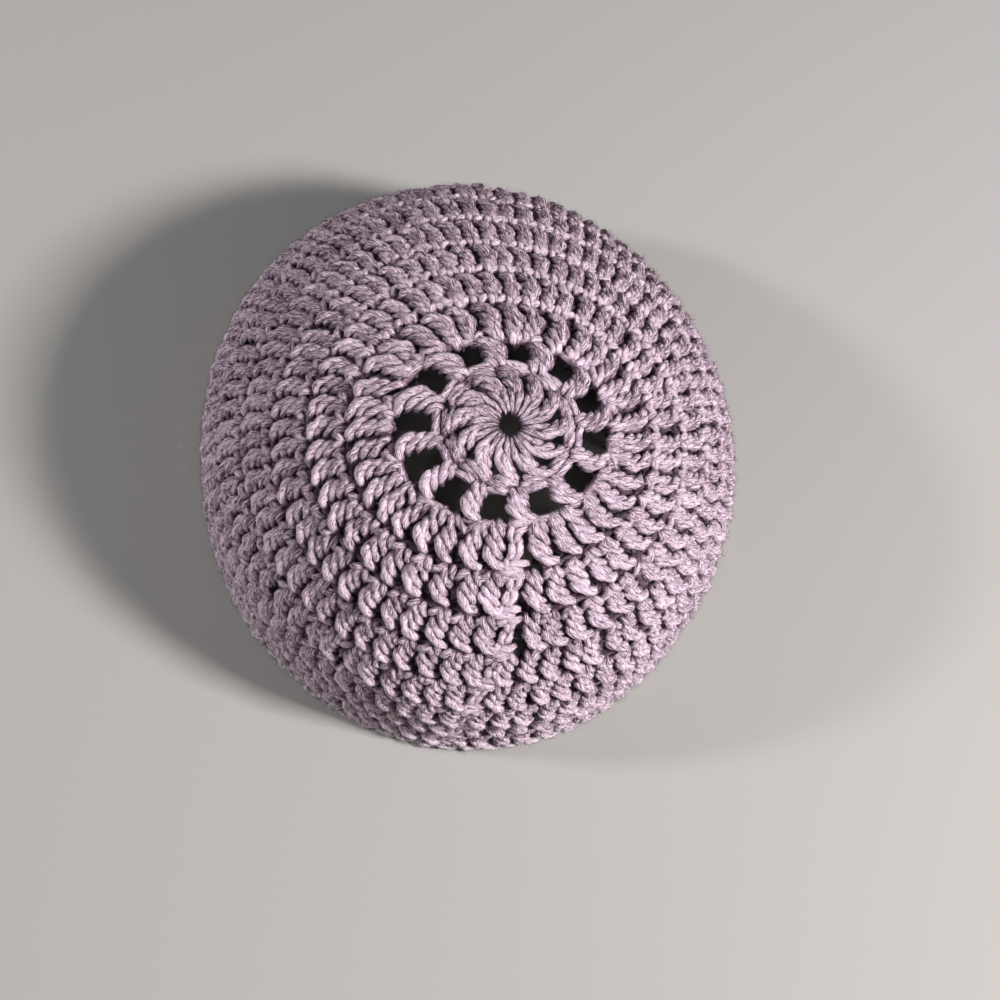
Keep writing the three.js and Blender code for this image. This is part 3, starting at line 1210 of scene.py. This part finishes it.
@dataclass(frozen=True)
class Lamp:
    """A soft square light that faces the cap."""

    name: str
    place: tuple[float, float, float]
    size: float
    power: float
    colour: tuple[float, float, float]
    aim: tuple[float, float, float] = (0.0, 0.0, 0.05)

    def add(self) -> None:
        """Adds the light to the scene."""
        data = bpy.data.lights.new(self.name, "AREA")
        data.size = self.size
        data.energy = self.power
        data.color = self.colour
        lamp = placed(self.name, data)
        lamp.location = self.place
        lamp.rotation_mode = "QUATERNION"
        beam = Vector(self.aim) - Vector(self.place)
        lamp.rotation_quaternion = beam.to_track_quat("-Z", "Y")


@dataclass
class Studio:
    """The pale floor, the soft lights and the camera at the photograph's viewing angle.

    The elevation is in degrees, the roll in radians, and the focus in thousandths of the
    picture's width. The rest of the camera's sizes are in metres.
    """

    floor_size: float = 6.0
    floor_colour: Colour = (0.36, 0.350, 0.332, 1.0)
    floor_roughness: float = 0.9
    lamps: tuple[Lamp, ...] = (
        Lamp("key", (0.92, -0.03, 0.82), 0.2, 23.3, (1.0, 0.97, 0.98)),
        Lamp("fill", (-0.85, -0.35, 0.70), 0.12, 6.2, (0.98, 0.98, 1.0)),
    )
    glow: float = 0.114
    glow_colour: Colour = (0.98, 0.98, 1.0, 1.0)
    elevation: float = 67.72
    roll: float = -0.3757
    distance: float = 0.62
    focus: float = 1894.5
    across: float = -0.009052
    up_shift: float = 0.0183
    look_at: tuple[float, float, float] = (0.0, 0.0, 0.034)
    sensor: float = 36.0
    clip_start: float = 0.01

    def floor(self) -> None:
        """Adds the floor."""
        mesh = bpy.data.meshes.new("floor")
        half = self.floor_size / 2
        corners = [(-half, -half, 0), (half, -half, 0), (half, half, 0), (-half, half, 0)]
        mesh.from_pydata(corners, [], [(0, 1, 2, 3)])
        floor = placed("floor", mesh)
        material = bpy.data.materials.new("floor_pale")
        material.use_nodes = True
        shader = material.node_tree.nodes["Principled BSDF"]
        shader.inputs["Base Color"].default_value = self.floor_colour
        shader.inputs["Roughness"].default_value = self.floor_roughness
        mesh.materials.append(material)

    def lights(self) -> None:
        """Adds the lights and the surrounding glow."""
        for lamp in self.lamps:
            lamp.add()
        world = bpy.data.worlds.new("studio")
        bpy.context.scene.world = world
        world.use_nodes = True
        glow = world.node_tree.nodes["Background"]
        glow.inputs["Color"].default_value = self.glow_colour
        glow.inputs["Strength"].default_value = self.glow

    def camera(self) -> None:
        """Adds the camera."""
        elevation = math.radians(self.elevation)
        sight = Vector((0, -math.cos(elevation), math.sin(elevation)))
        right = Vector((1, 0, 0))
        up = Vector((0, math.sin(elevation), math.cos(elevation)))
        cosine, sine = math.cos(self.roll), math.sin(self.roll)
        turned_right = right * cosine - up * sine
        turned_up = right * sine + up * cosine
        place = Vector(self.look_at) + sight * self.distance
        place -= turned_right * self.across + turned_up * self.up_shift
        data = bpy.data.cameras.new("camera")
        data.sensor_width = self.sensor
        data.lens = self.focus / 1000.0 * self.sensor
        data.clip_start = self.clip_start
        camera = placed("camera", data)
        turn = Matrix((turned_right, turned_up, sight)).transposed().to_4x4()
        camera.matrix_world = Matrix.Translation(place) @ turn
        bpy.context.scene.camera = camera
        bpy.context.scene.view_settings.view_transform = "Standard"


# The stitches of each plain round.
STITCHES = {3: 36, 4: 48, 5: 60, 6: 72, 7: 78, 8: 84, 9: 84, 10: 84}

# Each round's seed is this and its number.
FIRST_SEED = 100


def main() -> None:
    """Builds the cap, the stage and the camera."""
    logging.basicConfig(level=logging.INFO, format="%(name)s: %(message)s")
    shape = CapShape(CapSizes())
    seam = Seam()
    wool = WoolFinish(
        "wool_mauve",
        dark_and_shade=(0.056, 0.012, 0.038, 1.0),
        middle=(0.375, 0.230, 0.315, 1.0),
        bright=(0.95, 0.75, 0.87, 1.0),
    ).material()
    edge = WoolFinish(
        "wool_edge",
        dark_and_shade=(0.10, 0.060, 0.085, 1.0),
        middle=(0.50, 0.375, 0.445, 1.0),
        bright=(0.88, 0.76, 0.83, 1.0),
    ).material()
    rounds = [("crown_rosette", Rosette, 12, wool, "crown_wool")]
    rounds.append(("eyelet_round", EyeletRound, 12, wool, "crown_wool"))
    for number, stitches in STITCHES.items():
        kind = FanRound if number == min(STITCHES) else StitchRound
        rounds.append((f"round_{number:02d}", kind, stitches, wool, "round_wool"))
    rounds.append(("hem_edging", HemEdging, 84, edge, "edging_wool"))
    sweep = YarnSweep()
    total = 0
    for number, (node, kind, stitches, material, slot) in enumerate(rounds, start=1):
        part = kind(shape, seam, number, stitches, FIRST_SEED + number)
        part.work()
        piece = sweep.apply(part.yarns, node + "_yarn", material, part.seed)
        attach(piece, "root")
        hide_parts(node)
        triangles = sum(len(face.vertices) - 2 for face in piece.data.polygons)
        total += triangles
        LOG.info("%s: %d triangles", piece.name, triangles)
    LOG.info("all: %d triangles", total)
    studio = Studio()
    studio.floor()
    studio.lights()
    studio.camera()


if __name__ == "__main__":
    main()
